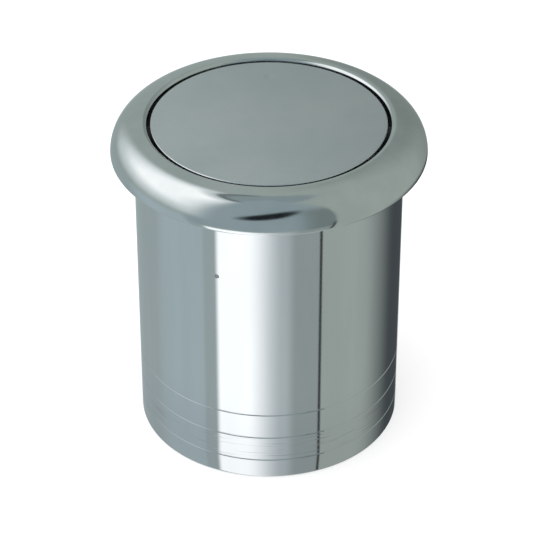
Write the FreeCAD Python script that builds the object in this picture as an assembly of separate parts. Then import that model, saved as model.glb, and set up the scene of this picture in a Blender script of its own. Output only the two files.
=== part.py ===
import FreeCAD
import Part
import math
import os

from FreeCAD import Vector

# Desk grommet with a press-to-tilt lid, for a round hole in a desk top.
# Millimetres. The sleeve's axis is Z and z = 0 is the desk top, where the rim's underside rests.
# +Y is the back, where the lid is pressed down. -Y is the front, where it rises.

# Sleeve: the tube that drops into the hole in the desk.
sleeve_diameter = 59.5
sleeve_wall = 1.2
sleeve_depth = 68.7
sleeve_edge_round = 0.5
spigot_height = 2.5          # turned-down top end, bonded into the rim
spigot_wall = 0.6
groove_width = 0.3
groove_depth = 0.08
foot_groove_first = 5.0      # turned lines near the lower end, from that end up
foot_groove_pitch = 6.3
foot_groove_count = 3

# Rim: the bull-nosed ring that covers the edge of the hole.
rim_overhang = 5.1           # past the sleeve, all round
rim_height = 7.6             # from the desk top to the crown
nose_height = 0.6            # where the nose is widest
nose_width = 7.2             # from the crown out to the widest place
nose_foot_width = 0.8        # from the widest place in to the seat
lip_thickness = 2.2          # the ledge over the cradle, at the opening
opening_edge_round = 0.3
bond_clearance = 0.05        # in every glued or pressed joint

# Gasket: a rubber ring let into the rim's seat.
gasket_width = 1.1
gasket_thickness = 0.85
gasket_inset = 0.55          # metal left between the gasket and the sleeve

# Lid: a steel disc on a moulded carrier.
lid_diameter = 51.9
lid_gap = 0.8                # all round, in the rim's opening
lid_drop = 0.5               # the lid's face lies this far below the crown
lid_thickness = 1.5
lid_edge_round = 0.2
swing_clearance = 0.3        # between the lid and the bushes it swings over
open_angle = 80.0
press_mark_offset = 19.5
press_mark_radius = 1.3
press_mark_depth = 0.12

# Carrier: moulded, screwed to studs under the lid.
carrier_inset = 0.95         # in from the lid's edge
carrier_thickness = 1.4
rib_thickness = 1.2
rib_depth = 1.6
rib_edge_inset = 5.0         # the round rib, in from the carrier's edge
root = 0.5                   # how far ribs and cheeks run into the plate they stand on
stud_inset = 4.05            # in from the round rib to the studs' circle
stud_angle = 62.0            # round from the pivot's line
stud_radius = 1.0
stud_hole_clearance = 0.12
stud_stand_out = 0.4         # past the nut
washer_radius = 2.4
washer_thickness = 0.3
nut_across_flats = 4.0
nut_height = 1.6

# Pivot: two pins, each turning in a flanged bush in the cradle.
pin_radius = 1.25
pin_length = 18.1
pin_running_clearance = 0.03
cheek_inset = 5.35           # in from the lid's edge
outer_cheek_thickness = 2.8
spring_bay_width = 5.6
inner_cheek_thickness = 2.4
cheek_wall = 1.75            # round the pin
thrust_washer_thickness = 0.4
thrust_washer_radius = 2.9
thrust_gap = 0.1             # between the thrust washer and the bush
bush_flange_thickness = 0.8
bush_wall = 0.62
bush_length = 4.0
ear_wall = 1.0
ear_foot = 1.0               # below the bumper
ear_back_y = 2.0

# Cradle: the moulded ring behind the rim that holds the pivot and the stops.
cradle_wall = 1.6
cradle_gap = 0.2             # inside the sleeve
cradle_depth = 18.5          # below the desk top
cradle_top_gap = 0.1         # under the rim's lip
ledge_margin = 0.1           # past the pads, inwards
ledge_thickness = 1.8
ledge_half_angle = 55.0      # either side of the front
pad_half_angle = 28.0
pad_inset = 0.9              # in from the carrier's edge to the middle of each pad
pad_radius = 1.6
pad_height = 1.0
pad_gap = 0.03
stem_radius = 0.9
stem_length = 1.3
gusset_thickness = 1.2
gusset_height = 3.6

# Open stop: a rubber bumper on the back of each ear.
bumper_radius = 1.5
bumper_drop = 7.0
bumper_gap = 0.05

# Sleeve pins: three dowels through the sleeve into the cradle.
dowel_radius = 0.5
dowel_drop = 14.9
dowel_first_angle = -112.0
dowel_count = 3
dowel_recess = 0.08
dowel_floor = 0.35           # cradle wall left behind each dowel

# Return springs: torsion springs on the pins, wound left and right.
wire_radius = 0.35
coil_clearance = 0.3         # round the pin
coil_turns = 5.25
coil_end_gap = 0.15          # to the cheeks
lid_leg_length = 8.0
anchor_leg_drop = 5.6
anchor_leg_depth = 2.0       # into the ear
anchor_bend = 0.8
channel_clearance = 0.05

# Sizes worked out from those above.
sleeve_radius = sleeve_diameter / 2
sleeve_bore_radius = sleeve_radius - sleeve_wall
spigot_radius = sleeve_bore_radius + spigot_wall
rim_radius = sleeve_radius + rim_overhang
crown_radius = rim_radius - nose_width
lid_radius = lid_diameter / 2
opening_radius = lid_radius + lid_gap
lid_face_z = rim_height - lid_drop
lid_back_z = lid_face_z - lid_thickness
lip_z = lid_face_z - lip_thickness
carrier_radius = lid_radius - carrier_inset
carrier_back_z = lid_back_z - carrier_thickness
rib_outer_radius = carrier_radius - rib_edge_inset
stud_circle_radius = rib_outer_radius - rib_thickness - stud_inset
cheek_radius = pin_radius + cheek_wall
cheek_outer_x = lid_radius - cheek_inset
outer_cheek_inner_x = cheek_outer_x - outer_cheek_thickness
inner_cheek_outer_x = outer_cheek_inner_x - spring_bay_width
inner_cheek_inner_x = inner_cheek_outer_x - inner_cheek_thickness
bush_radius = pin_radius + pin_running_clearance + bush_wall
ear_radius = bush_radius + ear_wall
pivot_z = lid_back_z - swing_clearance - ear_radius
ear_drop = bumper_drop + bumper_radius + ear_foot
bush_face_x = cheek_outer_x + thrust_washer_thickness + thrust_gap
ear_face_x = bush_face_x + bush_flange_thickness
cradle_radius = sleeve_bore_radius - cradle_gap
cradle_bore_radius = cradle_radius - cradle_wall
wall_middle_radius = cradle_radius - cradle_wall / 2
cradle_top_z = lip_z - cradle_top_gap
ledge_z = carrier_back_z - pad_height - pad_gap
pad_circle_radius = carrier_radius - pad_inset
ledge_inner_radius = pad_circle_radius - pad_radius - ledge_margin
bumper_x = ear_face_x + bumper_radius
coil_radius = pin_radius + coil_clearance + wire_radius
coil_start_x = inner_cheek_outer_x + coil_end_gap + wire_radius
coil_end_x = outer_cheek_inner_x - coil_end_gap - wire_radius

up = Vector(0, 0, 1)
right = Vector(1, 0, 0)
back = Vector(0, 1, 0)


def at(radius, z):
    """A point on the XZ half-plane, for the outlines that are spun about Z."""
    return Vector(radius, 0, z)


def spin(edges):
    """The solid of revolution about Z of a closed outline on the XZ half-plane."""
    face = Part.Face(Part.Wire(Part.__sortEdges__(edges)))
    return face.revolve(Vector(0, 0, 0), up, 360)


def outline(points):
    """Straight edges through the points."""
    return [Part.LineSegment(a, b).toShape() for a, b in zip(points, points[1:])]


def ring(inner, outer, low, high):
    """A plain round ring about Z."""
    return disc(outer, low, high).cut(disc(inner, low, high))


def disc(radius, low, high):
    """A plain round disc about Z."""
    return Part.makeCylinder(radius, high - low, Vector(0, 0, low))


def block(low, high):
    """A box from its lowest corner to its highest."""
    size = high - low
    return Part.makeBox(size.x, size.y, size.z, low)


def rod(radius, start, end):
    """A round bar between two points."""
    return Part.makeCylinder(radius, (end - start).Length, start, end - start)


def across(radius, start_x, end_x, y=0.0, z=pivot_z):
    """A round bar along X, on the pivot's axis unless told otherwise."""
    return rod(radius, Vector(start_x, y, z), Vector(end_x, y, z))


def turned(shape, angle):
    """A copy turned about the sleeve's axis."""
    copy = shape.copy()
    copy.rotate(Vector(0, 0, 0), up, angle)
    return copy


def mirrored(shape):
    """The left-hand copy of a right-hand piece."""
    return shape.mirror(Vector(0, 0, 0), right)


def joined(shapes):
    """One solid from overlapping ones."""
    return shapes[0].multiFuse(shapes[1:]).removeSplitter()


def quarter_ellipse(centre, one_end, other_end):
    """The quarter of an ellipse between the ends of its two half axes."""
    ends = sorted([one_end, other_end], key=lambda end: end.distanceToPoint(centre), reverse=True)
    ellipse = Part.Ellipse(ends[0], ends[1], centre)
    return Part.ArcOfEllipse(ellipse, ellipse.parameter(ends[0]), ellipse.parameter(ends[1])).toShape()


def edges_at(shape, z):
    """The shape's level edges at this height."""
    return [e for e in shape.Edges if abs(e.BoundBox.ZMax - z) < 1e-6 and e.BoundBox.ZLength < 1e-6]


def groove(z):
    """A V-shaped ring that cuts one fine turned line into the sleeve."""
    half = groove_width / 2
    beyond = sleeve_radius + 1
    return spin(outline([
        at(sleeve_radius - groove_depth, z),
        at(sleeve_radius, z + half),
        at(beyond, z + half),
        at(beyond, z - half),
        at(sleeve_radius, z - half),
        at(sleeve_radius - groove_depth, z),
    ]))


def dowel_angles():
    return [dowel_first_angle + 360.0 * n / dowel_count for n in range(dowel_count)]


def radial_rod(radius, inner, outer, z, angle):
    """A round bar that points out from the sleeve's axis."""
    return turned(rod(radius, at(inner, z), at(outer, z)), angle)


def rim_ring():
    nose = nose_edges()
    seat_inner = spigot_radius + bond_clearance
    gasket_inner = sleeve_radius + gasket_inset
    gasket_outer = gasket_inner + gasket_width
    socket_radius = sleeve_bore_radius - 0.5 * cradle_gap
    drop = rim_height - lid_face_z
    reach = crown_radius - opening_radius
    dish_radius = (reach ** 2 + drop ** 2) / (2 * drop)
    dish_centre = at(crown_radius, rim_height - dish_radius)
    half_turn = math.asin(reach / dish_radius) / 2
    dish_middle = dish_centre + Vector(-math.sin(half_turn), 0, math.cos(half_turn)) * dish_radius
    dish = Part.Arc(at(opening_radius, lid_face_z), dish_middle, at(crown_radius, rim_height)).toShape()
    underside = outline([
        at(rim_radius - nose_foot_width, 0),
        at(gasket_outer + bond_clearance, 0),
        at(gasket_outer + bond_clearance, gasket_thickness),
        at(gasket_inner - bond_clearance, gasket_thickness),
        at(gasket_inner - bond_clearance, 0),
        at(seat_inner, 0),
        at(seat_inner, spigot_height),
        at(socket_radius, spigot_height),
        at(socket_radius, lip_z),
        at(opening_radius, lip_z),
        at(opening_radius, lid_face_z),
    ])
    solid = spin(nose + underside + [dish])
    return solid.makeFillet(opening_edge_round, edges_at(solid, lid_face_z))


def nose_edges():
    """The nose: its upper quarter from the crown out, and its lower quarter in to the seat."""
    widest = at(rim_radius, nose_height)
    upper_centre = at(crown_radius, nose_height)
    upper = quarter_ellipse(upper_centre, widest, at(crown_radius, rim_height))
    foot = at(rim_radius - nose_foot_width, 0)
    lower = quarter_ellipse(at(rim_radius - nose_foot_width, nose_height), widest, foot)
    return [upper, lower]


def sleeve_tube():
    tube = ring(sleeve_bore_radius, sleeve_radius, -sleeve_depth, 0)
    tube = tube.makeFillet(sleeve_edge_round, edges_at(tube, -sleeve_depth))
    spigot = ring(sleeve_bore_radius, spigot_radius, -spigot_height, spigot_height - bond_clearance)
    tube = joined([tube, spigot])
    foot_lines = [
        -sleeve_depth + foot_groove_first + n * foot_groove_pitch for n in range(foot_groove_count)
    ]
    cuts = [groove(z) for z in foot_lines]
    cuts += [
        radial_rod(dowel_radius, cradle_radius, sleeve_radius + 1, -dowel_drop, angle)
        for angle in dowel_angles()
    ]
    return tube.cut(cuts)


def desk_gasket():
    inner = sleeve_radius + gasket_inset
    return ring(inner, inner + gasket_width, 0, gasket_thickness - bond_clearance)


def sleeve_dowels():
    inner = cradle_bore_radius + dowel_floor
    outer = sleeve_radius - dowel_recess
    return Part.makeCompound([
        radial_rod(dowel_radius, inner, outer, -dowel_drop, angle) for angle in dowel_angles()
    ])


def right_ear():
    """The bearing bracket on the cradle's wall, with its web down to the open stop."""
    boss = across(ear_radius, ear_face_x, wall_middle_radius)
    web = block(
        Vector(ear_face_x, -ear_radius, pivot_z - ear_drop),
        Vector(wall_middle_radius, ear_back_y, pivot_z),
    )
    inside = disc(cradle_radius, pivot_z - ear_drop, cradle_top_z)
    return joined([boss, web]).common(inside)


def front_ledge():
    """The arc at the front that carries the closed lid, with its gussets."""
    low = ledge_z - ledge_thickness
    inner = ledge_inner_radius
    outer = wall_middle_radius
    section = Part.Face(Part.Wire(outline([
        at(inner, low), at(outer, low), at(outer, ledge_z), at(inner, ledge_z), at(inner, low),
    ])))
    arc = section.revolve(Vector(0, 0, 0), up, 2 * ledge_half_angle)
    arc = turned(arc, -90 - ledge_half_angle)
    gusset = Part.Face(Part.Wire(outline([
        at(inner + 1, low), at(outer, low), at(outer, low - gusset_height), at(inner + 1, low),
    ]))).extrude(back * gusset_thickness)
    gusset.translate(-back * (gusset_thickness / 2))
    return [arc] + [turned(gusset, angle) for angle in (-90 - pad_half_angle, -90, -90 + pad_half_angle)]


def pad_places():
    angles = [math.radians(a) for a in (-90 - pad_half_angle, -90 + pad_half_angle)]
    return [(pad_circle_radius * math.cos(a), pad_circle_radius * math.sin(a)) for a in angles]


def lid_cradle():
    wall = ring(cradle_bore_radius, cradle_radius, -cradle_depth, cradle_top_z)
    ear = right_ear()
    body = joined([wall, ear, mirrored(ear)] + front_ledge())
    bush_seat = across(bush_radius + bond_clearance, ear_face_x - 1, ear_face_x + bush_length)
    pin_hole = across(pin_radius + 4 * pin_running_clearance, ear_face_x, cradle_radius + 1)
    leg_hole = across(
        wire_radius + channel_clearance, ear_face_x - 1, ear_face_x + anchor_leg_depth + 0.2,
        -coil_radius, pivot_z - anchor_leg_drop,
    )
    stem_hole = rod(
        stem_radius + bond_clearance,
        Vector(bumper_x, ear_back_y + 1, pivot_z - bumper_drop),
        Vector(bumper_x, ear_back_y - stem_length - bond_clearance, pivot_z - bumper_drop),
    )
    cuts = []
    for hole in (bush_seat, pin_hole, leg_hole, stem_hole):
        cuts += [hole, mirrored(hole)]
    for x, y in pad_places():
        cuts.append(rod(
            stem_radius + bond_clearance,
            Vector(x, y, ledge_z + 1), Vector(x, y, ledge_z - stem_length - bond_clearance),
        ))
    inner = cradle_bore_radius + dowel_floor
    cuts += [
        radial_rod(dowel_radius, inner, cradle_radius + 1, -dowel_drop, angle) for angle in dowel_angles()
    ]
    return body.cut(cuts)


def closed_pads():
    pads = []
    for x, y in pad_places():
        head = rod(pad_radius, Vector(x, y, ledge_z), Vector(x, y, ledge_z + pad_height))
        stem = rod(stem_radius, Vector(x, y, ledge_z), Vector(x, y, ledge_z - stem_length))
        pads.append(joined([head, stem]))
    return Part.makeCompound(pads)


def bumper_tip_y():
    """How far back the bumper reaches to meet the lid's underside at the open angle."""
    angle = math.radians(open_angle)
    plate = lid_back_z - pivot_z
    edge_drop = bumper_drop - bumper_radius
    return (plate + edge_drop * math.cos(angle)) / math.sin(angle) - bumper_gap


def open_bumpers():
    z = pivot_z - bumper_drop
    face = Vector(bumper_x, ear_back_y, z)
    head = rod(bumper_radius, face, Vector(bumper_x, bumper_tip_y(), z))
    stem = rod(stem_radius, face, Vector(bumper_x, ear_back_y - stem_length, z))
    bumper = joined([head, stem])
    return Part.makeCompound([bumper, mirrored(bumper)])


def right_bush():
    flange = across(ear_radius, bush_face_x, ear_face_x)
    body = across(bush_radius, ear_face_x, ear_face_x + bush_length)
    bore = across(pin_radius + pin_running_clearance, bush_face_x - 1, ear_face_x + bush_length + 1)
    return joined([flange, body]).cut(bore)


def right_pin():
    return across(pin_radius, inner_cheek_inner_x, inner_cheek_inner_x + pin_length)


def lid_plate():
    plate = disc(lid_radius, lid_back_z, lid_face_z)
    plate = plate.makeFillet(lid_edge_round, edges_at(plate, lid_face_z))
    ball_radius = (press_mark_radius ** 2 + press_mark_depth ** 2) / (2 * press_mark_depth)
    ball = Part.makeSphere(
        ball_radius, Vector(0, press_mark_offset, lid_face_z - press_mark_depth + ball_radius)
    )
    return plate.cut(ball)


def stud_places():
    x = stud_circle_radius * math.cos(math.radians(stud_angle))
    y = stud_circle_radius * math.sin(math.radians(stud_angle))
    return [(-x, -y), (-x, y), (x, -y), (x, y)]


def cheek(inner_x, outer_x):
    """One wall of the carrier that holds a pin."""
    boss = across(cheek_radius, inner_x, outer_x)
    top_z = carrier_back_z + root
    stem = block(Vector(inner_x, -cheek_radius, pivot_z), Vector(outer_x, cheek_radius, top_z))
    return joined([boss, stem])


def lid_carrier():
    plate = disc(carrier_radius, carrier_back_z, lid_back_z)
    half = rib_thickness / 2
    low = carrier_back_z - rib_depth
    high = carrier_back_z + root
    rib = ring(rib_outer_radius - rib_thickness, rib_outer_radius, low, high)
    reach = rib_outer_radius - half
    spine = block(Vector(-half, -reach, low), Vector(half, reach, high))
    tie_x = inner_cheek_inner_x + half
    tie = block(Vector(-tie_x, -half, low), Vector(tie_x, half, high))
    cheeks = [cheek(inner_cheek_inner_x, inner_cheek_outer_x), cheek(outer_cheek_inner_x, cheek_outer_x)]
    body = joined([plate, rib, spine, tie] + cheeks + [mirrored(c) for c in cheeks])
    flats = block(
        Vector(-cheek_outer_x, -carrier_radius - 1, pivot_z - cheek_radius - 1),
        Vector(cheek_outer_x, carrier_radius + 1, lid_back_z),
    )
    body = body.common(flats)
    coil_clear = coil_radius + wire_radius + coil_clearance
    bay = block(
        Vector(inner_cheek_outer_x, -coil_clear, pivot_z - cheek_radius - 1),
        Vector(outer_cheek_inner_x, coil_clear, pivot_z + coil_clear),
    )
    channel_half = wire_radius + channel_clearance
    channel = block(
        Vector(coil_start_x - channel_half, 0, pivot_z - cheek_radius),
        Vector(coil_start_x + channel_half, lid_leg_length + 0.5, pivot_z + coil_radius + channel_half),
    )
    pin_hole = across(pin_radius, inner_cheek_inner_x - 1, cheek_outer_x + 1)
    cuts = []
    for hole in (bay, channel, pin_hole):
        cuts += [hole, mirrored(hole)]
    for x, y in stud_places():
        cuts.append(rod(
            stud_radius + stud_hole_clearance,
            Vector(x, y, carrier_back_z - 1), Vector(x, y, lid_back_z + 1),
        ))
    return body.cut(cuts)


def lid_studs():
    low = carrier_back_z - washer_thickness - nut_height - stud_stand_out
    return Part.makeCompound([
        rod(stud_radius, Vector(x, y, low), Vector(x, y, lid_back_z)) for x, y in stud_places()
    ])


def stud_washers():
    washers = []
    for x, y in stud_places():
        top = Vector(x, y, carrier_back_z)
        bottom = Vector(x, y, carrier_back_z - washer_thickness)
        hole = rod(stud_radius + bond_clearance, bottom, top)
        washers.append(rod(washer_radius, bottom, top).cut(hole))
    return Part.makeCompound(washers)


def stud_nuts():
    corner = nut_across_flats / 2 / math.cos(math.radians(30))
    nuts = []
    for x, y in stud_places():
        top = carrier_back_z - washer_thickness
        turns = [math.radians(60 * n) for n in range(7)]
        points = [Vector(x + corner * math.cos(a), y + corner * math.sin(a), top) for a in turns]
        nut = Part.Face(Part.Wire(outline(points))).extrude(-up * nut_height)
        thread = rod(stud_radius, Vector(x, y, top), Vector(x, y, top - nut_height))
        nuts.append(nut.cut(thread))
    return Part.makeCompound(nuts)


def right_thrust_washer():
    end_x = cheek_outer_x + thrust_washer_thickness
    washer = across(thrust_washer_radius, cheek_outer_x, end_x)
    return washer.cut(across(pin_radius, cheek_outer_x, end_x))


def right_spring():
    """A leg runs back from the coil's top, and another drops from its front and turns out to the ear."""
    length = coil_end_x - coil_start_x
    path = Part.makeHelix(length / coil_turns, length, coil_radius)
    section = Part.Wire(Part.Circle(right * coil_radius, back, wire_radius).toShape())
    coil = Part.Wire(path.Edges).makePipeShell([section], True, True)
    coil.rotate(Vector(0, 0, 0), back, 90)
    coil.rotate(Vector(0, 0, 0), right, 180)
    coil.translate(Vector(coil_start_x, 0, pivot_z))
    top = Vector(coil_start_x, 0, pivot_z + coil_radius)
    front = Vector(coil_end_x, -coil_radius, pivot_z)
    knee = front - up * (anchor_leg_drop - anchor_bend)
    elbow = Part.Face(Part.Wire(Part.Circle(knee, up, wire_radius).toShape()))
    elbow = elbow.revolve(knee + right * anchor_bend, back, -90)
    bent = knee + (right - up) * anchor_bend
    anchor = Vector(ear_face_x + anchor_leg_depth, bent.y, bent.z)
    lid_leg = rod(wire_radius, top, top + back * lid_leg_length)
    legs = [lid_leg, rod(wire_radius, front, knee), elbow, rod(wire_radius, bent, anchor)]
    return coil.multiFuse(legs)


def write(name, shape):
    if not shape.isValid():
        raise ValueError(name + " is not valid")
    shape.exportStep(os.path.join("parts", name + ".step"))
    print(name, len(shape.Solids), round(shape.Volume, 2))


def main():
    os.makedirs("parts", exist_ok=True)
    nodes = {
        "rim_ring": rim_ring(),
        "sleeve_tube": sleeve_tube(),
        "desk_gasket": desk_gasket(),
        "sleeve_dowels": sleeve_dowels(),
        "lid_cradle": lid_cradle(),
        "closed_stop_pads": closed_pads(),
        "open_stop_bumpers": open_bumpers(),
        "lid_plate": lid_plate(),
        "lid_carrier": lid_carrier(),
        "lid_studs": lid_studs(),
        "stud_washers": stud_washers(),
        "stud_nuts": stud_nuts(),
    }
    right_pieces = {
        "bush": right_bush(),
        "pivot_pin": right_pin(),
        "thrust_washer": right_thrust_washer(),
        "return_spring": right_spring(),
    }
    for name, piece in right_pieces.items():
        nodes["right_" + name] = piece
        nodes["left_" + name] = mirrored(piece)
    for name, shape in nodes.items():
        write(name, shape)


main()
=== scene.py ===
import math

import bpy
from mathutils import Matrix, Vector


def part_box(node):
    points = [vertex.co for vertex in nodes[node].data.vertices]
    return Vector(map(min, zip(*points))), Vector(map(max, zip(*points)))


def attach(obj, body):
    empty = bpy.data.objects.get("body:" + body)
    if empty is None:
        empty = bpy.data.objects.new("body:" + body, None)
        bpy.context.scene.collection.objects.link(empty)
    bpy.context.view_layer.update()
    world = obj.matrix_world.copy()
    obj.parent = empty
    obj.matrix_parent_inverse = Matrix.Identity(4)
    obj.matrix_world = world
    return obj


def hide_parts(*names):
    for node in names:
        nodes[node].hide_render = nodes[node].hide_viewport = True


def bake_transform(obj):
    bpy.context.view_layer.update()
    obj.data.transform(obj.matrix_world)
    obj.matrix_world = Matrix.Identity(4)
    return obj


# Desk grommet: a polished sleeve and rim with a satin lid that tips on a sprung pivot.
# Metres, +Z up, the sleeve's axis is Z and z = 0 is the desk top. Small sizes are written in mm.

mm = 0.001
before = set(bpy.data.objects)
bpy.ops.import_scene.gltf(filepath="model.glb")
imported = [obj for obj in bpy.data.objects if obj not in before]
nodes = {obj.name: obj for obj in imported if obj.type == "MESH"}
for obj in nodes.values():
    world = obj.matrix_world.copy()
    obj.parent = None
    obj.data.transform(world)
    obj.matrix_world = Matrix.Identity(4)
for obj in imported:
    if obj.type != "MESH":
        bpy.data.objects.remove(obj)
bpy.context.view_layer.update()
print("frame loaded:", len(nodes), "nodes")


class Wire:
    # a shader socket that adds Math nodes when it is used in an expression
    def __init__(self, bench, socket):
        self.bench = bench
        self.socket = socket

    def math(self, operation, *others):
        made = self.bench.add("ShaderNodeMath", {"operation": operation}, [self, *others])
        return made.out("Value")

    def __add__(self, other):
        return self.math("ADD", other)

    def __radd__(self, other):
        return self.math("ADD", other)

    def __sub__(self, other):
        return self.math("SUBTRACT", other)

    def __rsub__(self, other):
        return (self * -1.0) + other

    def __mul__(self, other):
        return self.math("MULTIPLY", other)

    def __rmul__(self, other):
        return self.math("MULTIPLY", other)

    def __truediv__(self, other):
        return self.math("DIVIDE", other)

    def __pow__(self, other):
        return self.math("POWER", other)

    def between(self, low, high, reach=0.0, top=1.0):
        # 0 at low, rising smoothly to top at high
        made = self.bench.add("ShaderNodeMapRange", {"interpolation_type": "SMOOTHSTEP"}, {
            "Value": self, "From Min": low, "From Max": high, "To Min": reach, "To Max": top})
        return made.out("Result")

    def mixed(self, first, second):
        # this wire, 0 to 1, mixes two colours
        made = self.bench.add("ShaderNodeMix", {"data_type": "RGBA"}, {
            "Factor_Float": self, "A_Color": first, "B_Color": second})
        return Wire(self.bench, made.find("Result_Color"))


class Made:
    # one node on the bench
    def __init__(self, bench, node):
        self.bench = bench
        self.node = node

    def find(self, identifier):
        return next(s for s in self.node.outputs if s.identifier == identifier)

    def out(self, name):
        return Wire(self.bench, self.node.outputs[name])


class Bench:
    # builds the nodes of one material, or of one Geometry Nodes tree
    def __init__(self, tree):
        self.tree = tree
        self.tree.nodes.clear()

    def add(self, kind, settings=None, values=None):
        node = self.tree.nodes.new(kind)
        for key, value in (settings or {}).items():
            setattr(node, key, value)
        pairs = values.items() if isinstance(values, dict) else enumerate(values or [])
        for key, value in pairs:
            socket = self.input(node, key)
            if isinstance(value, Made):
                value = Wire(self, value.node.outputs[0])
            if isinstance(value, Wire):
                self.tree.links.new(value.socket, socket)
            elif socket.type == "RGBA" and len(value) == 3:
                socket.default_value = (*value, 1.0)
            else:
                socket.default_value = value
        return Made(self, node)

    def input(self, node, key):
        if isinstance(key, int):
            return node.inputs[key]
        for socket in node.inputs:
            if key in (socket.identifier, socket.name) and socket.enabled:
                return socket
        raise KeyError(f"{node.bl_idname} has no input {key}")


class Finish(Bench):
    # a Principled material with the patterns that this object's finishes share
    def __init__(self, name, **fixed):
        self.material = bpy.data.materials.new(name)
        self.material.use_nodes = True
        super().__init__(self.material.node_tree)
        self.shader = self.add("ShaderNodeBsdfPrincipled", None, fixed)
        self.add("ShaderNodeOutputMaterial", None, {"Surface": self.shader.out("BSDF")})
        place = self.add("ShaderNodeTexCoord").out("Object")
        self.place = place
        split = self.add("ShaderNodeSeparateXYZ", None, [place])
        self.x, self.y, self.z = split.out("X"), split.out("Y"), split.out("Z")

    def round(self):
        # the angle about the sleeve's axis, in radians, and the distance from it
        angle = self.y.math("ARCTAN2", self.x)
        radius = (self.x * self.x + self.y * self.y) ** 0.5
        return angle, radius

    def point(self, x, y, z):
        return self.add("ShaderNodeCombineXYZ", None, [x, y, z]).out("Vector")

    def noise(self, scale, detail=3.0, rough=0.55, where=None):
        made = self.add("ShaderNodeTexNoise", None, {
            "Vector": where or self.place, "Scale": scale, "Detail": detail, "Roughness": rough})
        return made.out("Fac")

    def cells(self, scale, where=None):
        made = self.add("ShaderNodeTexVoronoi", None, {"Vector": where or self.place, "Scale": scale})
        return made.out("Distance")

    def bump(self, height, distance, strength=1.0, under=None):
        values = {"Height": height, "Distance": distance, "Strength": strength}
        if under is not None:
            values["Normal"] = under
        return self.add("ShaderNodeBump", None, values).out("Normal")

    def set(self, **wires):
        names = {"colour": "Base Color", "roughness": "Roughness", "normal": "Normal"}
        for key, wire in wires.items():
            self.tree.links.new(wire.socket, self.shader.node.inputs[names[key]])
        return self.material


def dress(name, material):
    # gives a CAD node its finish
    mesh = nodes[name].data
    mesh.materials.clear()
    mesh.materials.append(material)


def newObject(name, mesh):
    piece = bpy.data.objects.new(name, mesh)
    bpy.context.scene.collection.objects.link(piece)
    return piece


def flatMesh(name, points, edges=(), faces=()):
    mesh = bpy.data.meshes.new(name)
    mesh.from_pydata([tuple(p) for p in points], list(edges), [tuple(f) for f in faces])
    mesh.update()
    return mesh


def arc(centre, radius, start, end, steps):
    # points on an ellipse's arc, in radius and height; radius is one number or (across, up)
    across, high = radius if isinstance(radius, tuple) else (radius, radius)
    turns = [math.radians(start + (end - start) * n / steps) for n in range(steps + 1)]
    return [(centre[0] + across * math.cos(t), centre[1] + high * math.sin(t)) for t in turns]


def makeTree(name, inputs):
    tree = bpy.data.node_groups.new(name, "GeometryNodeTree")
    tree.interface.new_socket(name="Geometry", in_out="INPUT", socket_type="NodeSocketGeometry")
    tree.interface.new_socket(name="Geometry", in_out="OUTPUT", socket_type="NodeSocketGeometry")
    for label, kind in inputs.items():
        tree.interface.new_socket(name=label, in_out="INPUT", socket_type="NodeSocket" + kind)
    return tree


def makeTurnedTree():
    # spins a closed outline round the Z axis; the outline is drawn from the path radius out, upside down
    tree = makeTree("turnedRing", {"Path Radius": "Float", "Segments": "Int", "Material": "Material"})
    bench = Bench(tree)
    given = bench.add("NodeGroupInput")
    outline = bench.add("GeometryNodeMeshToCurve", None, {"Mesh": given.out("Geometry")})
    circle = bench.add("GeometryNodeCurvePrimitiveCircle", {"mode": "RADIUS"}, {
        "Resolution": given.out("Segments"), "Radius": given.out("Path Radius")})
    level = bench.add("GeometryNodeSetCurveNormal", {"mode": "Z_UP"}, {"Curve": circle.out("Curve")})
    spun = bench.add("GeometryNodeCurveToMesh", None, {
        "Curve": level.out("Curve"), "Profile Curve": outline.out("Curve")})
    smooth = bench.add("GeometryNodeSetShadeSmooth", None, {"Geometry": spun.out("Mesh")})
    real = bench.add("GeometryNodeRealizeInstances", None, {"Geometry": smooth.out("Geometry")})
    painted = bench.add("GeometryNodeSetMaterial", None, {
        "Geometry": real.out("Geometry"), "Material": given.out("Material")})
    bench.add("NodeGroupOutput", None, {"Geometry": painted.out("Geometry")})
    return tree


def makeSquareTree():
    # sets one copy of a fixing at each corner of a rectangle about the Z axis
    tree = makeTree("fixingSet", {
        "Half Width": "Float", "Half Depth": "Float", "Height": "Float", "Material": "Material"})
    bench = Bench(tree)
    given = bench.add("NodeGroupInput")
    corner = bench.add("GeometryNodeInputIndex").out("Index")
    side = 1 - 2 * corner.math("MODULO", 2.0)
    row = 1 - 2 * (corner / 2.0).math("FLOOR")
    place = bench.add("ShaderNodeCombineXYZ", None, [
        side * given.out("Half Width"), row * given.out("Half Depth"), given.out("Height")])
    corners = bench.add("GeometryNodePoints", None, {"Count": 4, "Position": place.out("Vector")})
    copies = bench.add("GeometryNodeInstanceOnPoints", None, {
        "Points": Wire(bench, corners.node.outputs[0]), "Instance": given.out("Geometry")})
    real = bench.add("GeometryNodeRealizeInstances", None, {"Geometry": copies.out("Instances")})
    painted = bench.add("GeometryNodeSetMaterial", None, {
        "Geometry": real.out("Geometry"), "Material": given.out("Material")})
    bench.add("NodeGroupOutput", None, {"Geometry": painted.out("Geometry")})
    return tree


def throughTree(name, mesh, tree, values):
    # runs the tree on the mesh and keeps the result as a plain mesh
    source = newObject(name + "Source", mesh)
    step = source.modifiers.new("shape", "NODES")
    step.node_group = tree
    for item in tree.interface.items_tree:
        if item.in_out == "INPUT" and item.name in values:
            step[item.identifier] = values[item.name]
    ready = source.evaluated_get(bpy.context.evaluated_depsgraph_get())
    result = bpy.data.meshes.new_from_object(ready)
    bpy.data.objects.remove(source)
    result.name = name
    return result


turnedTree = makeTurnedTree()
squareTree = makeSquareTree()


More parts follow.
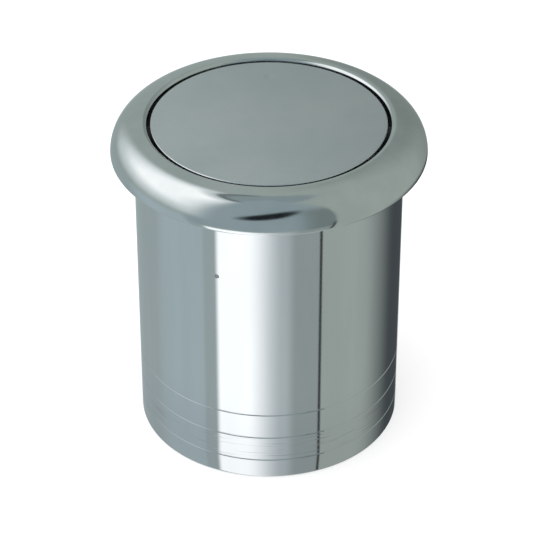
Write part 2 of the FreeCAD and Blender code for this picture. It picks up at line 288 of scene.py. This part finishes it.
def turnedMesh(name, outline, material, segments=256, crease=35.0):
    # outline: (radius, height) in mm, closed, round the section with the metal on its left
    radii = [r for r, _ in outline]
    pathRadius = max(radii)
    points = [((r - pathRadius) * mm, -z * mm, 0.0) for r, z in outline]
    count = len(points)
    section = flatMesh(name + "Section", points, [(n, (n + 1) % count) for n in range(count)])
    mesh = throughTree(name, section, turnedTree, {
        "Path Radius": pathRadius * mm, "Segments": segments, "Material": material})
    if signedVolume(mesh) < 0:
        mesh.flip_normals()
    mesh.set_sharp_from_angle(angle=math.radians(crease))
    return mesh


def signedVolume(mesh):
    total = 0.0
    for face in mesh.polygons:
        corners = [mesh.vertices[i].co for i in face.vertices]
        for b, c in zip(corners[1:], corners[2:]):
            total += corners[0].dot(b.cross(c)) / 6
    return total


view = {"pitch": 34.6, "distance": 539 * mm, "lens": 160.2, "aimBelowLid": 38.5 * mm, "sideShift": -0.0047}
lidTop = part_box("lid_plate")[1].z
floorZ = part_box("sleeve_tube")[0].z


def makeCamera():
    camera = bpy.data.objects.new("camera", bpy.data.cameras.new("camera"))
    bpy.context.scene.collection.objects.link(camera)
    camera.data.lens = view["lens"]
    camera.data.sensor_width = 36.0
    camera.data.clip_start = 0.01
    camera.data.clip_end = 20.0
    camera.data.shift_x = view["sideShift"]
    pitch = math.radians(view["pitch"])
    aim = Vector((0, 0, lidTop - view["aimBelowLid"]))
    camera.location = aim + Vector((0, -math.cos(pitch), math.sin(pitch))) * view["distance"]
    camera.rotation_euler = (math.pi / 2 - pitch, 0, 0)
    bpy.context.scene.camera = camera


# What the polished metal sees, by the direction that it comes from, in degrees.
# Azimuth is measured from the camera's side, positive to the right. Elevation is above the horizon.
# Each card: tone, then its left, right, lower and upper edges, each with its softness.
# Later cards lie on top.
studio = {
    "radius": 1.6,
    "room": (0.342, 0.397, 0.378),
    "cards": [
        ((0.345, 0.405, 0.415), (-200, 10), (-40, 2), (-100, 8), (-8, 8)),       # blue-grey wall, left
        ((0.395, 0.475, 0.500), (-108, 12), (-58, 2), (-100, 8), (-10, 8)),      # its lighter middle
        ((0.363, 0.412, 0.385), (45.5, 0.5), (200, 2), (-70, 8), (68, 12)),      # grey-green card, right
        ((0.235, 0.272, 0.256), (132, 24), (176, 6), (-26, 6), (46, 22)),        # its shaded end
        ((0.256, 0.316, 0.327), (-200, 3), (200, 3), (74, 1.5), (100, 9)),       # ceiling
        ((0.285, 0.355, 0.378), (-56, 8), (40, 8), (-24, 6), (100, 3)),          # wall behind the camera
        ((0.305, 0.350, 0.350), (15, 7), (45, 0.6), (-100, 8), (-22, 4)),        # wall low on the right
        ((0.190, 0.230, 0.230), (25, 9), (45, 0.6), (-24, 5), (44, 12)),         # gap beside the card
        ((0.66, 0.70, 0.70), (-200, 3), (200, 3), (-100, 8), (-70, 8)),          # bench under the sleeve
        ((0.060, 0.070, 0.076), (109, 27), (172, 8), (-60, 8), (-27, 4)),        # far corner in shade
        ((0.55, 0.60, 0.61), (-200, 3), (-166, 9), (-60, 8), (-12, 6)),          # paper at the back, left
        ((0.50, 0.55, 0.56), (166, 6), (200, 3), (-60, 8), (-12, 6)),            # paper at the back, right
        ((0.62, 0.68, 0.69), (-142, 10), (-48, 12), (0, 9), (71, 2)),          # window, its outer glow
        ((1.16, 1.18, 1.18), (-128, 18), (-60, 18), (17, 13), (66, 4)),           # window
        ((0.150, 0.175, 0.180), (-170, 12), (-50, 9), (71.5, 1.2), (75.5, 1.6)),  # head of the window frame
        ((0.46, 0.51, 0.53), (-46, 1.2), (18, 6), (-100, 8), (-26, 1.6)),        # white bench, outer glow
        ((1.26, 1.29, 1.30), (-45, 2.5), (-4, 17), (-100, 8), (-26, 1.6)),       # white bench in front
        ((0.035, 0.04, 0.04), (43.6, 0.5), (46.0, 0.5), (-66, 8), (-12, 8)),     # edge of the card
    ],
    "cameraAt": (1.0, 32.0),
    "cameraTilt": 30.0,
    "cameraHalf": (32.0, 11.5),
    "cameraTone": (0.012, 0.014, 0.016),
}


def rising(wire, edge):
    place, soft = edge
    return wire.between(place - soft, place + soft)


def falling(wire, edge):
    place, soft = edge
    return wire.between(place - soft, place + soft, 1.0, 0.0)


def makeStudioShell():
    # a ball of light and shade that only reflections see
    material = bpy.data.materials.new("studioTones")
    material.use_nodes = True
    bench = Bench(material.node_tree)
    place = bench.add("ShaderNodeTexCoord").out("Object")
    split = bench.add("ShaderNodeSeparateXYZ", None, [place])
    x, y, z = split.out("X"), split.out("Y"), split.out("Z")
    azimuth = x.math("ARCTAN2", y * -1.0) * (180 / math.pi)
    elevation = (z / studio["radius"]).math("ARCSINE") * (180 / math.pi)
    tone = bench.add("ShaderNodeRGB").out("Color")
    tone.socket.default_value = (*studio["room"], 1.0)
    for colour, left, right, low, high in studio["cards"]:
        share = rising(azimuth, left) * falling(azimuth, right) * rising(elevation, low)
        tone = (share * falling(elevation, high)).mixed(tone, colour)
    tilt = math.radians(studio["cameraTilt"])
    aside = azimuth - studio["cameraAt"][0]
    above = elevation - studio["cameraAt"][1]
    longWay = (aside * math.cos(tilt) + above * math.sin(tilt)) / studio["cameraHalf"][0]
    shortWay = (above * math.cos(tilt) - aside * math.sin(tilt)) / studio["cameraHalf"][1]
    away = longWay * longWay + shortWay * shortWay
    tone = away.between(0.25, 1.0, 1.0, 0.0).mixed(tone, studio["cameraTone"])
    glow = bench.add("ShaderNodeEmission", None, {"Color": tone, "Strength": 1.0})
    bench.add("ShaderNodeOutputMaterial", None, {"Surface": glow.out("Emission")})

    rings, slices = 24, 48
    points = []
    for ring in range(rings + 1):
        tilt = math.pi * (ring / rings - 0.5)
        for n in range(slices):
            turn = 2 * math.pi * n / slices
            points.append((math.cos(tilt) * math.cos(turn) * studio["radius"],
                           math.cos(tilt) * math.sin(turn) * studio["radius"],
                           math.sin(tilt) * studio["radius"]))
    faces = [(r * slices + n, r * slices + (n + 1) % slices,
              (r + 1) * slices + (n + 1) % slices, (r + 1) * slices + n)
             for r in range(rings) for n in range(slices)]
    shell = newObject("studioShell", flatMesh("studioShell", points, (), faces))
    shell.data.materials.append(material)
    for ray in ("camera", "diffuse", "transmission", "volume_scatter", "shadow"):
        setattr(shell, "visible_" + ray, False)


def makeFloor():
    half = 1.5
    points = [(-half, -half, floorZ), (half, -half, floorZ), (half, half, floorZ), (-half, half, floorZ)]
    floor = newObject("floor", flatMesh("floor", points, (), [(0, 1, 2, 3)]))
    paper = Finish("paleFloor", **{
        "Roughness": 0.8, "Base Color": (0.55, 0.55, 0.55),
        "Emission Color": (1, 1, 1), "Emission Strength": 0.5})
    floor.data.materials.append(paper.material)
    floor.visible_glossy = False


def makeLights():
    world = bpy.data.worlds.new("paleRoom")
    bpy.context.scene.world = world
    world.use_nodes = True
    world.node_tree.nodes["Background"].inputs["Color"].default_value = (1.0, 1.0, 1.0, 1.0)
    world.node_tree.nodes["Background"].inputs["Strength"].default_value = 1.0
    lamp = bpy.data.lights.new("softBox", "AREA")
    lamp.shape = "DISK"
    lamp.size = 1.2
    lamp.energy = 9.0
    box = bpy.data.objects.new("softBox", lamp)
    bpy.context.scene.collection.objects.link(box)
    box.location = (-0.35, -0.25, 1.3)
    box.rotation_euler = (Vector(box.location)).to_track_quat("Z", "Y").to_euler()
    box.visible_glossy = False
    bpy.context.scene.view_settings.view_transform = "Standard"


makeCamera()
makeStudioShell()
makeFloor()
makeLights()
print("camera and studio ready")


def polishedChrome():
    # plated and buffed: a faint ripple, smears of haze, hairlines that run round the rim
    made = Finish("polishedChrome", Metallic=1.0)
    angle, radius = made.round()
    haze = made.noise(60.0, 4.0)
    smears = made.noise(110.0, 5.0, 0.6).between(0.46, 0.7)
    hair = made.noise(1.0, 2.0, 0.5, made.point(angle * 3.0, radius * 9000.0, made.z * 9000.0))
    film = made.noise(70.0, 4.0, 0.6)
    colour = film.between(0.3, 0.7).mixed((0.815, 0.83, 0.835), (0.72, 0.755, 0.755))
    ripple = made.bump(made.noise(150.0, 2.0), 0.00003, 0.4)
    return made.set(
        colour=colour,
        roughness=0.06 + haze * 0.05 + smears * 0.05 + hair.between(0.62, 0.75) * 0.08,
        normal=made.bump(hair, 0.000002, 0.4, ripple))


def polishedSleeve(lowZ):
    # a drawn and polished tube: hairlines round it, and heavier turning marks near its lower end
    made = Finish("polishedSleeve", Metallic=1.0)
    angle, radius = made.round()
    hair = made.noise(1.0, 3.0, 0.6, made.point(angle * 1.5, 0.0, made.z * 6500.0))
    marks = made.noise(1.0, 2.0, 0.5, made.point(angle * 2.5, 3.0, made.z * 2600.0))
    lowBand = falling(made.z, (lowZ + 11.2 * mm, 1.2 * mm)) * rising(made.z, (lowZ + 4.8 * mm, 0.8 * mm))
    scored = marks.between(0.56, 0.7) * lowBand
    haze = made.noise(45.0, 4.0)
    drips = made.noise(1.0, 3.0, 0.5, made.point(made.x * 260.0, made.y * 260.0, made.z * 25.0))
    tone = drips.between(0.3, 0.75).mixed((0.80, 0.815, 0.82), (0.76, 0.78, 0.79))
    # the tube's colour darkens towards its foot
    foot = falling(made.z, (lowZ + 14.0 * mm, 12.0 * mm))
    footDarkened = (foot * 0.5).mixed(tone, (0.66, 0.67, 0.69))
    colour = (scored * 0.45).mixed(footDarkened, (0.50, 0.52, 0.53))
    fine = made.bump(hair, 0.0000025, 0.5)
    return made.set(
        colour=colour,
        roughness=0.045 + haze * 0.03 + hair.between(0.55, 0.8) * 0.03 + scored * 0.12,
        normal=made.bump(scored, 0.00001, 0.6, fine))


def satinLid():
    # bead-blasted and lightly brushed across, with handling marks and a smoother broken edge whose colour
    # is lightened as a painted highlight
    made = Finish("satinLid", Metallic=1.0)
    angle, radius = made.round()
    grain = made.noise(5200.0, 2.0, 0.6)
    brushed = made.noise(1.0, 3.0, 0.6, made.point(made.x * 260.0, made.y * 5200.0, made.z * 400.0))
    cloud = made.noise(48.0, 4.0, 0.6)
    rub = made.noise(130.0, 3.0, 0.65)
    rim = radius.between(25.4 * mm, 25.9 * mm)
    patch = cloud.between(0.3, 0.72).mixed((0.94, 0.96, 1.0), (0.84, 0.87, 0.92))
    # painted shade: the lid's colour darkens across its face towards the back right
    paintedShadeSlope = (made.x * 0.8 + made.y * 0.6).between(-26 * mm, 24 * mm)
    tone = (paintedShadeSlope * 0.4).mixed(patch, (0.60, 0.63, 0.66))
    grit = (grain.between(0.4, 0.62) * 0.22).mixed(tone, (0.55, 0.56, 0.56))
    # painted highlight: the colour lightens on the lid's rounded edge
    colour = (rim * 0.2).mixed(grit, (0.80, 0.81, 0.82))
    rough = 0.33 + cloud * 0.08 + rub.between(0.5, 0.7) * 0.05 - rim * 0.15
    blasted = made.bump(grain, 0.000012, 0.5)
    return made.set(colour=colour, roughness=rough, normal=made.bump(brushed, 0.000006, 0.4, blasted))


def mouldedNylon(name, dark, light, grainScale=2600.0):
    # glass-filled: a fine spark grain, flow clouds and a slight bloom
    made = Finish(name)
    grain = made.noise(grainScale, 2.0, 0.6)
    flow = made.noise(90.0, 4.0, 0.6)
    specks = made.noise(1400.0, 1.0).between(0.66, 0.74)
    tone = flow.between(0.3, 0.75).mixed(dark, light)
    colour = (specks * 0.25).mixed(tone, tuple(min(1.0, c * 3 + 0.03) for c in light))
    return made.set(
        colour=colour,
        roughness=0.46 + grain * 0.16 + flow * 0.1,
        normal=made.bump(grain, 0.00003, 0.5))


def mouldedRubber(name, tone):
    # matt, with a dusty bloom
    made = Finish(name, **{"Specular IOR Level": 0.3})
    grain = made.noise(3200.0, 3.0, 0.7)
    bloom = made.noise(160.0, 4.0, 0.65)
    pale = tuple(c * 2.2 + 0.012 for c in tone)
    return made.set(
        colour=bloom.between(0.4, 0.8).mixed(tone, pale),
        roughness=0.72 + grain * 0.16,
        normal=made.bump(grain, 0.00004, 0.6))


def turnedBar(name, tone, shade, along="x", rough=0.22, lineScale=5200.0):
    # turned or ground bar: fine lines round it, and staining in patches
    made = Finish(name, Metallic=1.0)
    run = {"x": made.x, "y": made.y, "z": made.z}[along]
    lines = made.noise(1.0, 2.0, 0.6, made.point(run * lineScale, 0.0, 0.0))
    stain = made.noise(420.0, 4.0, 0.6)
    return made.set(
        colour=stain.between(0.35, 0.75).mixed(tone, shade),
        roughness=rough + lines * 0.12 + stain * 0.08,
        normal=made.bump(lines, 0.000008, 0.5))


def platedFixing(name, tone, shade):
    # zinc or copper flash: mottled, with rubbed high spots
    made = Finish(name, Metallic=1.0)
    mottle = made.noise(900.0, 4.0, 0.65)
    rubbed = made.cells(1500.0)
    return made.set(
        colour=mottle.between(0.35, 0.7).mixed(tone, shade),
        roughness=0.26 + mottle * 0.2 + rubbed * 0.06,
        normal=made.bump(mottle, 0.00001, 0.5))


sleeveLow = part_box("sleeve_tube")[0].z
finishes = {
    "chrome": polishedChrome(),
    "sleeve": polishedSleeve(sleeveLow),
    "lid": satinLid(),
    "cradle": mouldedNylon("cradleNylon", (0.018, 0.019, 0.021), (0.034, 0.035, 0.038)),
    "carrier": mouldedNylon("carrierNylon", (0.035, 0.036, 0.039), (0.058, 0.059, 0.064)),
    "washer": mouldedNylon("washerNylon", (0.70, 0.68, 0.62), (0.78, 0.76, 0.70), 1800.0),
    "gasket": mouldedRubber("gasketRubber", (0.022, 0.022, 0.024)),
    "stop": mouldedRubber("stopRubber", (0.034, 0.034, 0.036)),
    "dowel": turnedBar("dowelSteel", (0.44, 0.44, 0.45), (0.34, 0.33, 0.32), "z", 0.3),
    "pin": turnedBar("pinSteel", (0.68, 0.69, 0.70), (0.60, 0.60, 0.60), "x", 0.14),
    "bush": turnedBar("bushBrass", (0.76, 0.56, 0.27), (0.62, 0.43, 0.19), "x", 0.24, 4200.0),
    "spring": turnedBar("springWire", (0.33, 0.33, 0.335), (0.22, 0.21, 0.20), "y", 0.28, 2600.0),
    "zinc": platedFixing("zincPlate", (0.70, 0.71, 0.73), (0.60, 0.62, 0.66)),
    "stud": platedFixing("copperFlash", (0.66, 0.52, 0.42), (0.55, 0.44, 0.37)),
}
print("finishes ready:", len(finishes))


rim = {
    "noseWidth": 7.2, "noseFoot": 0.8, "noseHeight": 0.6, "lidDrop": 0.5, "openingRadius": 26.75,
    "edgeRound": 0.3, "lipZ": 4.9, "socketRadius": 28.45, "spigotHeight": 2.5, "seatRadius": 29.2,
    "gasketIn": 30.25, "gasketOut": 31.45, "gasketDeep": 0.85,
    "dishShare": 0.82, "edgeLift": 0.12, "edgeStart": 118,    # where the dish stops and the edge begins
    "segments": 384,
}


def makeRim():
    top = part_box("rim_ring")[1]
    outer, crown = top.x / mm, top.z / mm
    crownRadius = outer - rim["noseWidth"]
    footRadius = outer - rim["noseFoot"]
    edgeZ = crown - rim["lidDrop"]
    reach = crownRadius - rim["openingRadius"]
    dishRadius = (reach ** 2 + rim["lidDrop"] ** 2) / (2 * rim["lidDrop"])
    dishSpan = math.degrees(math.asin(reach / dishRadius))
    dish = arc((crownRadius, crown - dishRadius), dishRadius, 90, 90 + dishSpan * rim["dishShare"], 10)
    edgeCentre = (rim["openingRadius"] + rim["edgeRound"], edgeZ - rim["edgeRound"] + rim["edgeLift"])
    edge = arc(edgeCentre, rim["edgeRound"], rim["edgeStart"], 180, 6)
    outline = arc((footRadius, rim["noseHeight"]), (rim["noseFoot"], rim["noseHeight"]), -90, 0, 18)
    noseSize = (rim["noseWidth"], crown - rim["noseHeight"])
    outline += arc((crownRadius, rim["noseHeight"]), noseSize, 0, 90, 64)[1:]
    outline += dish[1:] + edge
    outline += [
        (rim["openingRadius"], rim["lipZ"]), (rim["socketRadius"], rim["lipZ"]),
        (rim["socketRadius"], rim["spigotHeight"]), (rim["seatRadius"], rim["spigotHeight"]),
        (rim["seatRadius"], 0.0), (rim["gasketIn"], 0.0), (rim["gasketIn"], rim["gasketDeep"]),
        (rim["gasketOut"], rim["gasketDeep"]), (rim["gasketOut"], 0.0),
    ]
    piece = newObject("rim", turnedMesh("rim", outline, finishes["chrome"], rim["segments"]))
    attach(piece, "housing")
    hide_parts("rim_ring")


sleeve = {
    "wall": 1.2, "footRound": 0.5, "grooveWidth": 0.3, "grooveDeep": 0.08, "firstLine": 5.0,
    "linePitch": 6.3, "lines": 3, "spigotWall": 0.6, "spigotHeight": 2.45,
    "dowelRadius": 0.5, "dowelDrop": 14.9, "dowelAngle": -112.0, "dowels": 3, "dowelPlay": 0.02,
    "holeFrom": 26.0, "holeTo": 32.0, "holeSides": 48, "holeMargin": 0.8,
    "lipSpread": 1.4, "lipDrop": 0.012, "cutFloor": 0.2,      # the burnished lips and the cut's floor
    "segments": 384, "crease": 9.0,
}


def drilled(mesh):
    # three radial holes through the wall, each filled by the head of its dowel
    points, faces = [], []
    sides = sleeve["holeSides"]
    reach = (sleeve["dowelRadius"] + sleeve["dowelPlay"]) * mm
    for n in range(sleeve["dowels"]):
        turn = math.radians(sleeve["dowelAngle"] + 360 * n / sleeve["dowels"])
        out = Vector((math.cos(turn), math.sin(turn), 0))
        aside = Vector((-math.sin(turn), math.cos(turn), 0))
        first = len(points)
        for radius in (sleeve["holeFrom"], sleeve["holeTo"]):
            middle = out * radius * mm + Vector((0, 0, -sleeve["dowelDrop"] * mm))
            for k in range(sides):
                a = 2 * math.pi * k / sides
                points.append(middle + aside * math.cos(a) * reach + Vector((0, 0, math.sin(a) * reach)))
        last = first + sides
        faces += [(first + k, first + (k + 1) % sides, last + (k + 1) % sides, last + k)
                  for k in range(sides)]
        faces.append(tuple(first + k for k in reversed(range(sides))))
        faces.append(tuple(last + k for k in range(sides)))
    cutters = flatMesh("dowelHoles", points, (), faces)
    if signedVolume(cutters) < 0:
        cutters.flip_normals()
    cutter = newObject("dowelHoles", cutters)
    blank = newObject("sleeveBlank", mesh)
    step = blank.modifiers.new("holes", "BOOLEAN")
    step.operation = "DIFFERENCE"
    step.object = cutter
    ready = blank.evaluated_get(bpy.context.evaluated_depsgraph_get())
    result = bpy.data.meshes.new_from_object(ready)
    for spare in (blank, cutter):
        bpy.data.objects.remove(spare)
    return result


def makeSleeve():
    low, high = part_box("sleeve_tube")
    outer, foot = high.x / mm, low.z / mm
    bore = outer - sleeve["wall"]
    small = sleeve["footRound"]
    outline = arc((bore + small, foot + small), small, 180, 270, 14)
    outline += arc((outer - small, foot + small), small, 270, 360, 14)
    half = sleeve["grooveWidth"] / 2
    lip, floor = half * sleeve["lipSpread"], half * sleeve["cutFloor"]
    lipRadius, cutRadius = outer - sleeve["lipDrop"], outer - sleeve["grooveDeep"]
    for n in range(sleeve["lines"]):
        z = foot + sleeve["firstLine"] + n * sleeve["linePitch"]
        # a fine burnished lip stands either side of the cut
        outline += [
            (outer, z - lip), (lipRadius, z - half), (cutRadius, z - floor),
            (cutRadius, z + floor), (lipRadius, z + half), (outer, z + lip),
        ]
    outline += [
        (outer, -sleeve["dowelDrop"] - sleeve["holeMargin"]),
        (outer, -sleeve["dowelDrop"] + sleeve["holeMargin"]),
        (outer, 0.0), (bore + sleeve["spigotWall"], 0.0),
        (bore + sleeve["spigotWall"], sleeve["spigotHeight"]), (bore, sleeve["spigotHeight"]),
    ]
    mesh = drilled(turnedMesh("sleeve", outline, finishes["sleeve"], sleeve["segments"]))
    mesh.set_sharp_from_angle(angle=math.radians(sleeve["crease"]))
    piece = newObject("sleeve", mesh)
    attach(piece, "housing")
    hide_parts("sleeve_tube")


lid = {
    "edgeRound": 0.22, "backBreak": 0.12, "pressMarkY": 19.5, "pressMarkRadius": 1.3, "pressMarkDeep": 0.12,
    "segments": 360, "rings": 80,
}


def makeLid():
    # concentric rings of points, so that the press mark can be sunk into the face
    low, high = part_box("lid_plate")
    outer, top, back = high.x, high.z, low.z
    small, chamfer = lid["edgeRound"] * mm, lid["backBreak"] * mm
    segments, count = lid["segments"], lid["rings"]
    rings = [(outer * (n / count), top) for n in range(1, count) if outer * n / count < outer - small]
    rings += [(outer - small + small * math.sin(a), top - small + small * math.cos(a))
              for a in [math.radians(15 * n) for n in range(7)]]
    rings += [(outer, back + chamfer), (outer - chamfer, back), (outer * 0.5, back)]
    points = [(0, 0, top)]
    for radius, z in rings:
        for n in range(segments):
            turn = 2 * math.pi * n / segments
            points.append((radius * math.cos(turn), radius * math.sin(turn), z))
    points.append((0, 0, back))
    last = len(points) - 1
    faces = [(0, 1 + n, 1 + (n + 1) % segments) for n in range(segments)]
    for ring in range(len(rings) - 1):
        a, b = 1 + ring * segments, 1 + (ring + 1) * segments
        faces += [(a + n, b + n, b + (n + 1) % segments, a + (n + 1) % segments) for n in range(segments)]
    start = 1 + (len(rings) - 1) * segments
    faces += [(last, start + (n + 1) % segments, start + n) for n in range(segments)]
    markY, markRadius = lid["pressMarkY"] * mm, lid["pressMarkRadius"] * mm
    sunk = []
    for x, y, z in points:
        away = math.hypot(x, y - markY) / markRadius
        if z > top - 1e-6 and away < 1:
            z -= lid["pressMarkDeep"] * mm * (1 - away ** 2) ** 1.5
        sunk.append((x, y, z))
    mesh = flatMesh("lid", sunk, (), faces)
    mesh.shade_smooth()
    mesh.set_sharp_from_angle(angle=math.radians(40))
    mesh.materials.append(finishes["lid"])
    piece = newObject("lid", mesh)
    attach(piece, "lid")
    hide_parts("lid_plate")


makeRim()
makeSleeve()
makeLid()
print("rim, sleeve and lid ready")


gasket = {"inner": 30.3, "ribs": 2, "ribRound": 0.18, "edge": 0.15}


def makeGasket():
    # a flat ring with two sealing ribs on the side that meets the desk
    low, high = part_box("desk_gasket")
    outer, top = high.x / mm, high.z / mm
    inner = gasket["inner"]
    ribs = []
    width = (outer - inner) / gasket["ribs"]
    for n in range(gasket["ribs"]):
        middle = inner + width * (n + 0.5)
        ribs += arc((middle, gasket["ribRound"]), (width * 0.38, gasket["ribRound"]), 180, 360, 8)
    outline = ribs + [(outer, gasket["edge"]), (outer, top), (inner, top), (inner, gasket["edge"])]
    piece = newObject("gasket", turnedMesh("gasket", outline, finishes["gasket"], 256))
    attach(piece, "housing")
    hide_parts("desk_gasket")


makeGasket()


fixing = {
    "studRadius": 1.0, "threadPitch": 0.4, "threadDeep": 0.16, "washerRadius": 2.4, "washerThick": 0.3,
    "nutFlats": 4.0, "nutHeight": 1.6, "nutChamfer": 0.22,
}


def lathe(outline, segments):
    # an open outline of (radius, height) in mm, spun; its first and last points lie on the axis
    points, faces = [], []
    for radius, z in outline[1:-1]:
        for n in range(segments):
            turn = 2 * math.pi * n / segments
            points.append((radius * math.cos(turn) * mm, radius * math.sin(turn) * mm, z * mm))
    rows = len(outline) - 2
    for row in range(rows - 1):
        a, b = row * segments, (row + 1) * segments
        faces += [(a + n, a + (n + 1) % segments, b + (n + 1) % segments, b + n) for n in range(segments)]
    for end, row in ((0, 0), (-1, rows - 1)):
        points.append((0, 0, outline[end][1] * mm))
        centre = len(points) - 1
        for n in range(segments):
            pair = (row * segments + n, row * segments + (n + 1) % segments)
            faces.append((centre, *(pair if end else reversed(pair))))
    return points, faces


def studMesh():
    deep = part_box("lid_studs")
    length = (deep[1].z - deep[0].z) / mm
    outer, root = fixing["studRadius"], fixing["studRadius"] - fixing["threadDeep"]
    pitch = fixing["threadPitch"]
    outline = [(0, -length), (root - 0.1, -length)]
    z = -length + 0.15
    while z < -1.5:
        outline += [(root, z), (outer, z + pitch * 0.45), (outer, z + pitch * 0.55)]
        z += pitch
    outline += [(root, z), (outer, -1.2), (outer, 0.0), (0, 0.0)]
    points, faces = lathe(outline, 40)
    return flatMesh("studOne", points, (), faces)


def nutMesh():
    # a hexagon with its corners turned off at both ends, and a bore
    flats, high = fixing["nutFlats"] / 2, fixing["nutHeight"]
    sides, bore = 72, fixing["studRadius"] + 0.02
    rows = []
    chamfer = fixing["nutChamfer"]
    for z, cap in ((-high, True), (-high + chamfer, False), (-chamfer, False), (0.0, True)):
        row = []
        for n in range(sides):
            turn = 2 * math.pi * n / sides
            toFlat = (turn + math.pi / 6) % (math.pi / 3) - math.pi / 6
            reach = flats / math.cos(toFlat)
            if cap:
                reach = min(reach, flats * 1.01)
            row.append((reach * math.cos(turn) * mm, reach * math.sin(turn) * mm, z * mm))
        rows.append(row)
    lead = bore + 0.15
    for radius, z in ((lead, 0.0), (bore, -0.15), (bore, -high + 0.15), (lead, -high)):
        rows.append([(radius * math.cos(2 * math.pi * n / sides) * mm,
                      radius * math.sin(2 * math.pi * n / sides) * mm, z * mm) for n in range(sides)])
    points = [p for row in rows for p in row]
    count = len(rows)
    faces = []
    for row in range(count):
        a, b = row * sides, ((row + 1) % count) * sides
        faces += [(a + n, a + (n + 1) % sides, b + (n + 1) % sides, b + n) for n in range(sides)]
    return flatMesh("nutOne", points, (), faces)


def washerOutline():
    inner, outer, thick = fixing["studRadius"] + 0.05, fixing["washerRadius"], fixing["washerThick"]
    soft = 0.06
    return [
        (inner, -thick), (outer - soft, -thick), (outer, -thick + soft),
        (outer, -soft), (outer - soft, 0.0), (inner, 0.0),
    ]


def makeFixings():
    low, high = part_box("lid_studs")
    halfWidth = (high.x - low.x) / 2 - fixing["studRadius"] * mm
    halfDepth = (high.y - low.y) / 2 - fixing["studRadius"] * mm
    sets = (
        ("studs", "lid_studs", studMesh(), high.z, "stud", "stud_steel"),
        ("washers", "stud_washers", turnedMesh("washerOne", washerOutline(), finishes["zinc"], 64),
         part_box("stud_washers")[1].z, "zinc", "zinc_fixings"),
        ("nuts", "stud_nuts", nutMesh(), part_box("stud_nuts")[1].z, "zinc", "zinc_fixings"),
    )
    for name, node, one, height, finish, slot in sets:
        mesh = throughTree(name, one, squareTree, {
            "Half Width": halfWidth, "Half Depth": halfDepth, "Height": height,
            "Material": finishes[finish]})
        if signedVolume(mesh) < 0:
            mesh.flip_normals()
        mesh.shade_smooth()
        mesh.set_sharp_from_angle(angle=math.radians(28))
        piece = newObject(name, mesh)
        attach(piece, "lid")
        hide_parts(node)


makeFixings()
print("gasket and fixings ready")


spring = {
    "wire": 0.35, "coil": 1.9, "turns": 5.25, "length": 4.6, "pivotZ": 2.4, "bend": 0.8,
    "around": 14, "perTurn": 40, "endTrim": 0.82,
}


def springLine(side):
    # the wire's middle line, from the lid leg's free end round the coil to the end in the ear
    low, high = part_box("right_return_spring")
    coilStart = low.x / mm + spring["wire"]
    legEnd = high.y / mm
    foot = low.z / mm + spring["wire"]
    anchorX = high.x / mm
    coilEnd = coilStart + spring["length"]
    top = spring["pivotZ"] + spring["coil"]
    front = -spring["coil"]
    line = [(coilStart, legEnd - (legEnd * n / 12), top) for n in range(12)]
    steps = int(spring["turns"] * spring["perTurn"])
    for n in range(steps + 1):
        turn = 2 * math.pi * spring["turns"] * n / steps
        line.append((coilStart + (coilEnd - coilStart) * n / steps, -spring["coil"] * math.sin(turn),
                     spring["pivotZ"] + spring["coil"] * math.cos(turn)))
    bend = spring["bend"]
    drop = spring["pivotZ"] - foot - bend
    line += [(coilEnd, front, spring["pivotZ"] - drop * n / 8) for n in range(1, 9)]
    line += [(coilEnd + bend * (1 - math.cos(a)), front, foot + bend * (1 - math.sin(a)))
             for a in [math.radians(15 * n) for n in range(1, 7)]]
    line += [(coilEnd + bend + (anchorX - coilEnd - bend) * n / 6, front, foot) for n in range(1, 7)]
    return [Vector((side * x * mm, y * mm, z * mm)) for x, y, z in line]


def wireMesh(name, line, radius, around):
    # a round wire along a line of points, with its frame carried along so that it never twists
    points, faces = [], []
    across = Vector((1, 0, 0)).cross(line[1] - line[0]).normalized()
    for n, here in enumerate(line):
        ahead = (line[min(n + 1, len(line) - 1)] - line[max(n - 1, 0)]).normalized()
        across = (across - ahead * across.dot(ahead)).normalized()
        other = ahead.cross(across)
        trim = spring["endTrim"] if n in (0, len(line) - 1) else 1.0
        for k in range(around):
            turn = 2 * math.pi * k / around
            points.append(here + (across * math.cos(turn) + other * math.sin(turn)) * radius * trim)
    for n in range(len(line) - 1):
        a, b = n * around, (n + 1) * around
        faces += [(a + k, a + (k + 1) % around, b + (k + 1) % around, b + k) for k in range(around)]
    faces.append(tuple(reversed(range(around))))
    faces.append(tuple(range(len(points) - around, len(points))))
    return flatMesh(name, points, (), faces)


def makeSprings():
    for side, word in ((1, "right"), (-1, "left")):
        line = springLine(side)
        mesh = wireMesh(word + "Spring", line, spring["wire"] * mm, spring["around"])
        if signedVolume(mesh) < 0:
            mesh.flip_normals()
        mesh.shade_smooth()
        mesh.set_sharp_from_angle(angle=math.radians(50))
        mesh.materials.append(finishes["spring"])
        piece = newObject(word + "Spring", mesh)
        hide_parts(word + "_return_spring")
        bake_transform(piece)


makeSprings()
print("springs ready")


dress("lid_cradle", finishes["cradle"])
dress("lid_carrier", finishes["carrier"])
dress("closed_stop_pads", finishes["stop"])
dress("open_stop_bumpers", finishes["stop"])
dress("sleeve_dowels", finishes["dowel"])
for hand in ("left", "right"):
    dress(hand + "_bush", finishes["bush"])
    dress(hand + "_pivot_pin", finishes["pin"])
    dress(hand + "_thrust_washer", finishes["washer"])
print("kept pieces dressed")
